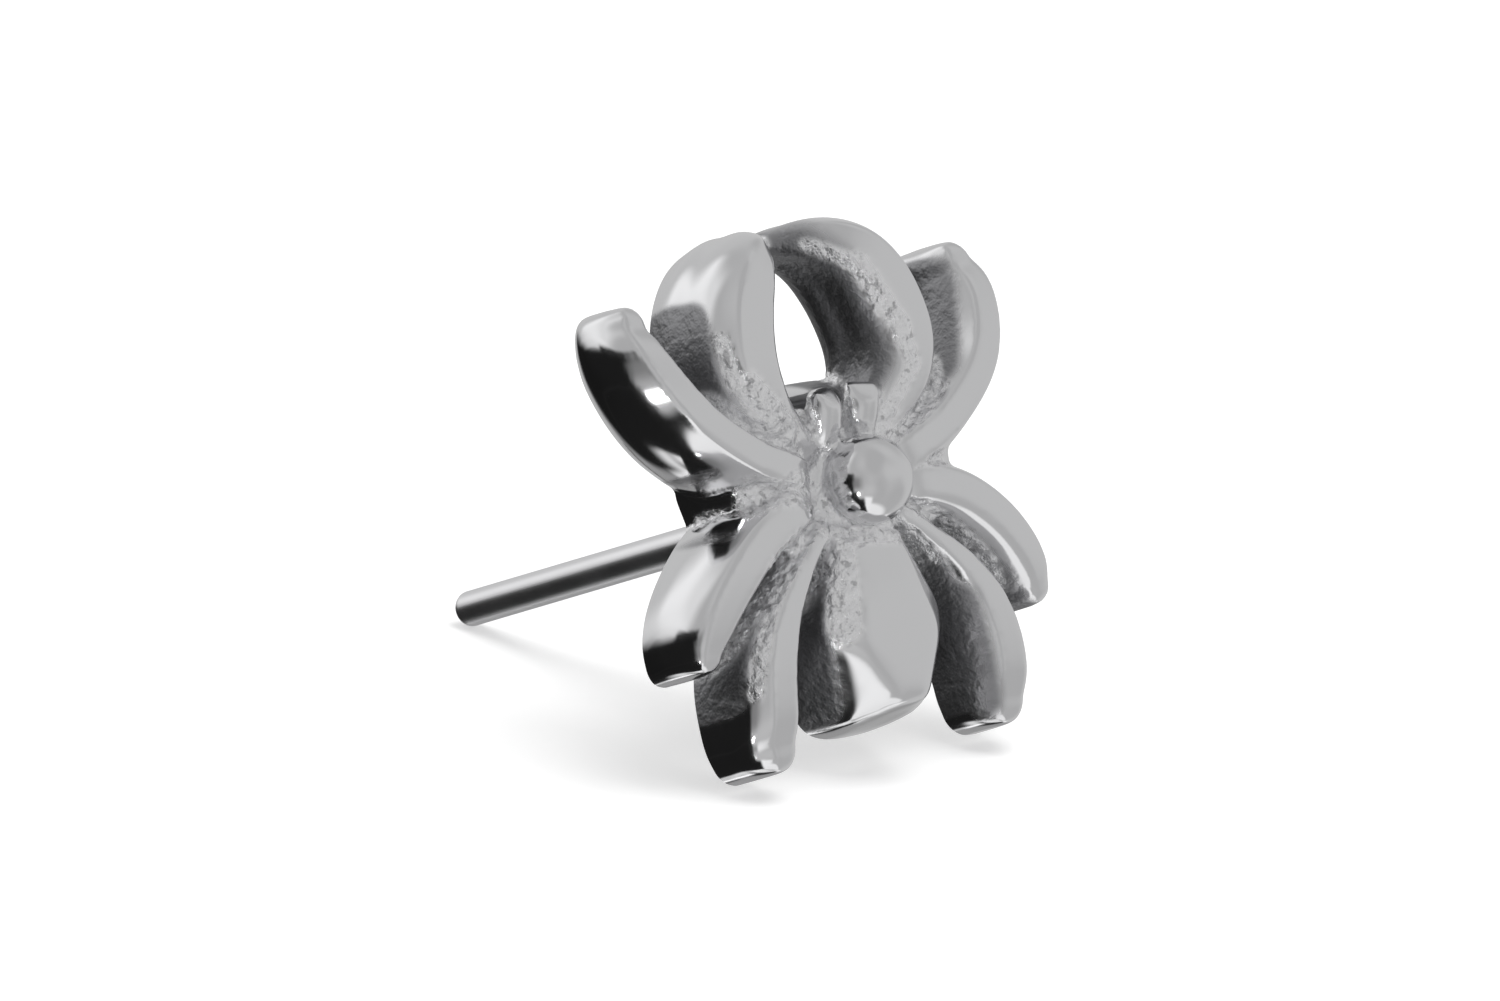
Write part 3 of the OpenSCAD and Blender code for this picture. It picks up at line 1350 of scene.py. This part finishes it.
@dataclass
class Studio:
    """The camera, the floor and the tent around them.

    The tent is grey all round, pale below and dark on the left, with one small
    lamp. The floor shows to the camera but not in the metal, because the tent's
    patches already stand for it there.

    Args:
        place: The casting's frame.
        azimuth: The camera's turn from the front, in degrees.
        elevation: Its height above the floor, in degrees.
        roll: Its turn about the line of sight, in degrees.
        lens: Its focal length, in mm.
        sensor: The width of its sensor, in mm.
        frame_width: The width that it shows, in mm.
        aim_right: Where it aims, to the right of the pin's root, in mm.
        aim_up: Where it aims, above the pin's root, in mm.
        floor_size: The floor's size, in metres.
        tent: The tent's own brightness.
        fold_size: Size of the folds in it.
        backdrop: Brightness of the plain backdrop that the camera sees.
        glows: The tent's patches.
    """

    place: CastingFrame
    azimuth: float = -47.4
    elevation: float = 16.3
    roll: float = 5.15
    lens: float = 800.0
    sensor: float = 36.0
    frame_width: float = 24.04
    aim_right: float = -0.7212
    aim_up: float = 0.2003
    floor_size: float = 2.0
    tent: float = 0.58
    fold_size: float = 0.80
    backdrop: float = 0.95
    glows: Sequence[Glow] = (
        Glow(turn=62, spread=70, lift=-90, height=30, soft=12, level=1.12),
        Glow(turn=153, spread=16, lift=-58, height=12, soft=10, level=1.12),
        Glow(turn=4, spread=13, lift=-68, height=24, soft=10, level=1.12),
        Glow(turn=-169, spread=26, lift=-42, height=26, soft=12, level=0.33),
        Glow(turn=-176, spread=26, lift=-58, height=8, soft=6, level=0.03),
        Glow(turn=-165, spread=38, lift=-90, height=22, soft=6, level=1.00),
        Glow(turn=-126, spread=40, lift=-55, height=6, soft=6, level=1.30),
        Glow(turn=-92, spread=36, lift=36, height=24, soft=24, level=1.00),
        Glow(turn=-30, spread=14, lift=-8, height=14, soft=20, level=0.30),
        Glow(turn=-58, spread=22, lift=6, height=8, soft=8, level=0.03),
        Glow(turn=-97, spread=60, lift=-16, height=21, soft=12, level=0.012),
        Glow(turn=-92, spread=64, lift=-44, height=14, soft=10, level=0.012),
        Glow(turn=-68, spread=57, lift=-72, height=24, soft=10, level=0.012),
        Glow(turn=-26.9, spread=3, lift=-35.4, height=3, soft=2, level=20.0),
    )

    def axes(self) -> tuple[Vector, Vector, Vector]:
        """Works out the camera's directions in the row frame.

        Returns:
            Its right, up and back.
        """
        turn, lift = math.radians(self.azimuth), math.radians(self.elevation)
        level = math.cos(lift)
        back = Vector((math.sin(turn) * level, -math.cos(turn) * level, math.sin(lift)))
        across = Vector((0, 0, 1)).cross(back).normalized()
        upright = back.cross(across)
        lean = math.radians(self.roll)
        right = across * math.cos(lean) + upright * math.sin(lean)
        return right, back.cross(right), back

    def add_camera(self) -> bpy.types.Object:
        """Adds the camera at the photograph's angle, with a long lens.

        Returns:
            The camera.
        """
        right, up, back = self.axes()
        away = self.frame_width * MM * self.lens / self.sensor
        target = self.place.root + (right * self.aim_right + up * self.aim_up) * MM
        camera = bpy.data.objects.new("camera", bpy.data.cameras.new("camera"))
        camera.data.lens = self.lens
        camera.data.sensor_width = self.sensor
        camera.data.clip_start = away / 10
        camera.data.clip_end = away * 10
        turned = Matrix((right, up, back)).transposed().to_4x4()
        camera.matrix_world = Matrix.Translation(target + back * away) @ turned
        bpy.context.scene.collection.objects.link(camera)
        bpy.context.scene.camera = camera
        return camera

    def add_floor(self) -> bpy.types.Object:
        """Adds the plain pale floor.

        Returns:
            The floor.
        """
        deselect_all()
        bpy.ops.mesh.primitive_plane_add(size=self.floor_size, location=(0, 0, 0))
        floor = bpy.context.object
        floor.name = "floor"
        floor.visible_glossy = False
        floor.visible_shadow = False
        material, wiring, shader = new_material("pale_floor")
        wiring.feed(shader, {"Base Color": (0.85, 0.85, 0.85, 1), "Roughness": 0.8})
        wiring.feed(shader, {"Emission Color": (1, 1, 1, 1), "Emission Strength": 0.35})
        floor.data.materials.append(material)
        return floor

    def add_tent(self) -> None:
        """Wires the world: what the metal mirrors, and a plain backdrop for the camera."""
        world = bpy.data.worlds.new("tent")
        bpy.context.scene.world = world
        world.use_nodes = True
        wiring = Wiring(world.node_tree)
        towards = wiring.add("ShaderNodeTexCoord").outputs["Generated"]
        right, up, back = (
            wiring.add(
                "ShaderNodeVectorMath", {0: towards, 1: axis}, operation="DOT_PRODUCT"
            ).outputs["Value"]
            for axis in self.axes()
        )
        turn = wiring.math("DEGREES", wiring.math("ARCTAN2", right, back))
        lift = wiring.math("DEGREES", wiring.math("ARCSINE", up))
        level = self.tent
        for glow in self.glows:
            off = wiring.math("WRAP", wiring.math("SUBTRACT", turn, glow.turn), 180, -180)
            across = self.inside(wiring, off, glow.spread, glow.soft)
            off = wiring.math("SUBTRACT", lift, glow.lift)
            upright = self.inside(wiring, off, glow.height, glow.soft)
            level = wiring.blend(wiring.math("MULTIPLY", across, upright), level, glow.level)
        folds = wiring.noise(towards, self.fold_size, detail=0.0)
        folds = wiring.ramp(folds, low=0.30, high=0.70, start=0.90, end=1.10)
        level = wiring.math("MULTIPLY", level, folds)
        seen = wiring.add("ShaderNodeLightPath").outputs["Is Camera Ray"]
        level = wiring.blend(seen, level, self.backdrop)
        background = world.node_tree.nodes["Background"]
        wiring.feed(background, {"Color": (1, 1, 1, 1), "Strength": level})

    @staticmethod
    def inside(
        wiring: Wiring, off: bpy.types.NodeSocket, half: float, soft: float
    ) -> bpy.types.NodeSocket:
        """Says how far a direction lies inside a patch, along one of its two ways.

        Args:
            wiring: The world's wiring.
            off: The angle from the middle of the patch.
            half: Half the patch's size.
            soft: Width of its soft edge.

        Returns:
            1 inside the patch, 0 outside, and between the two at its edge.
        """
        far = wiring.math("ABSOLUTE", off)
        return wiring.ramp(far, low=half - soft / 2, high=half + soft / 2, start=1, end=0)

    def add_light(self) -> bpy.types.Object:
        """Adds the overhead soft light, which the metal doesn't mirror.

        Returns:
            The light.
        """
        lamp = bpy.data.lights.new("overhead", "AREA")
        lamp.shape = "DISK"
        lamp.size = 0.12
        lamp.energy = 0.12
        light = bpy.data.objects.new("overhead", lamp)
        light.location = (0.02, -0.03, 0.15)
        light.rotation_euler = light.location.to_track_quat("Z", "Y").to_euler()
        light.visible_glossy = False
        bpy.context.scene.collection.objects.link(light)
        return light

    def build(self) -> None:
        """Builds the studio and shows colours as they are."""
        self.add_camera()
        self.add_floor()
        self.add_tent()
        self.add_light()
        bpy.context.scene.view_settings.view_transform = "Standard"


def main() -> None:
    """Builds every piece and the studio."""
    logging.basicConfig(level=logging.INFO, format="%(name)s: %(message)s")
    place = CastingFrame.from_record(frame["record"])
    for piece in (Casting(place).build(), Pin.from_record(place, frame["record"]).build()):
        LOG.info("%s: %d faces", piece.name, len(piece.data.polygons))
    Studio(place).build()


if __name__ == "__main__":
    main()
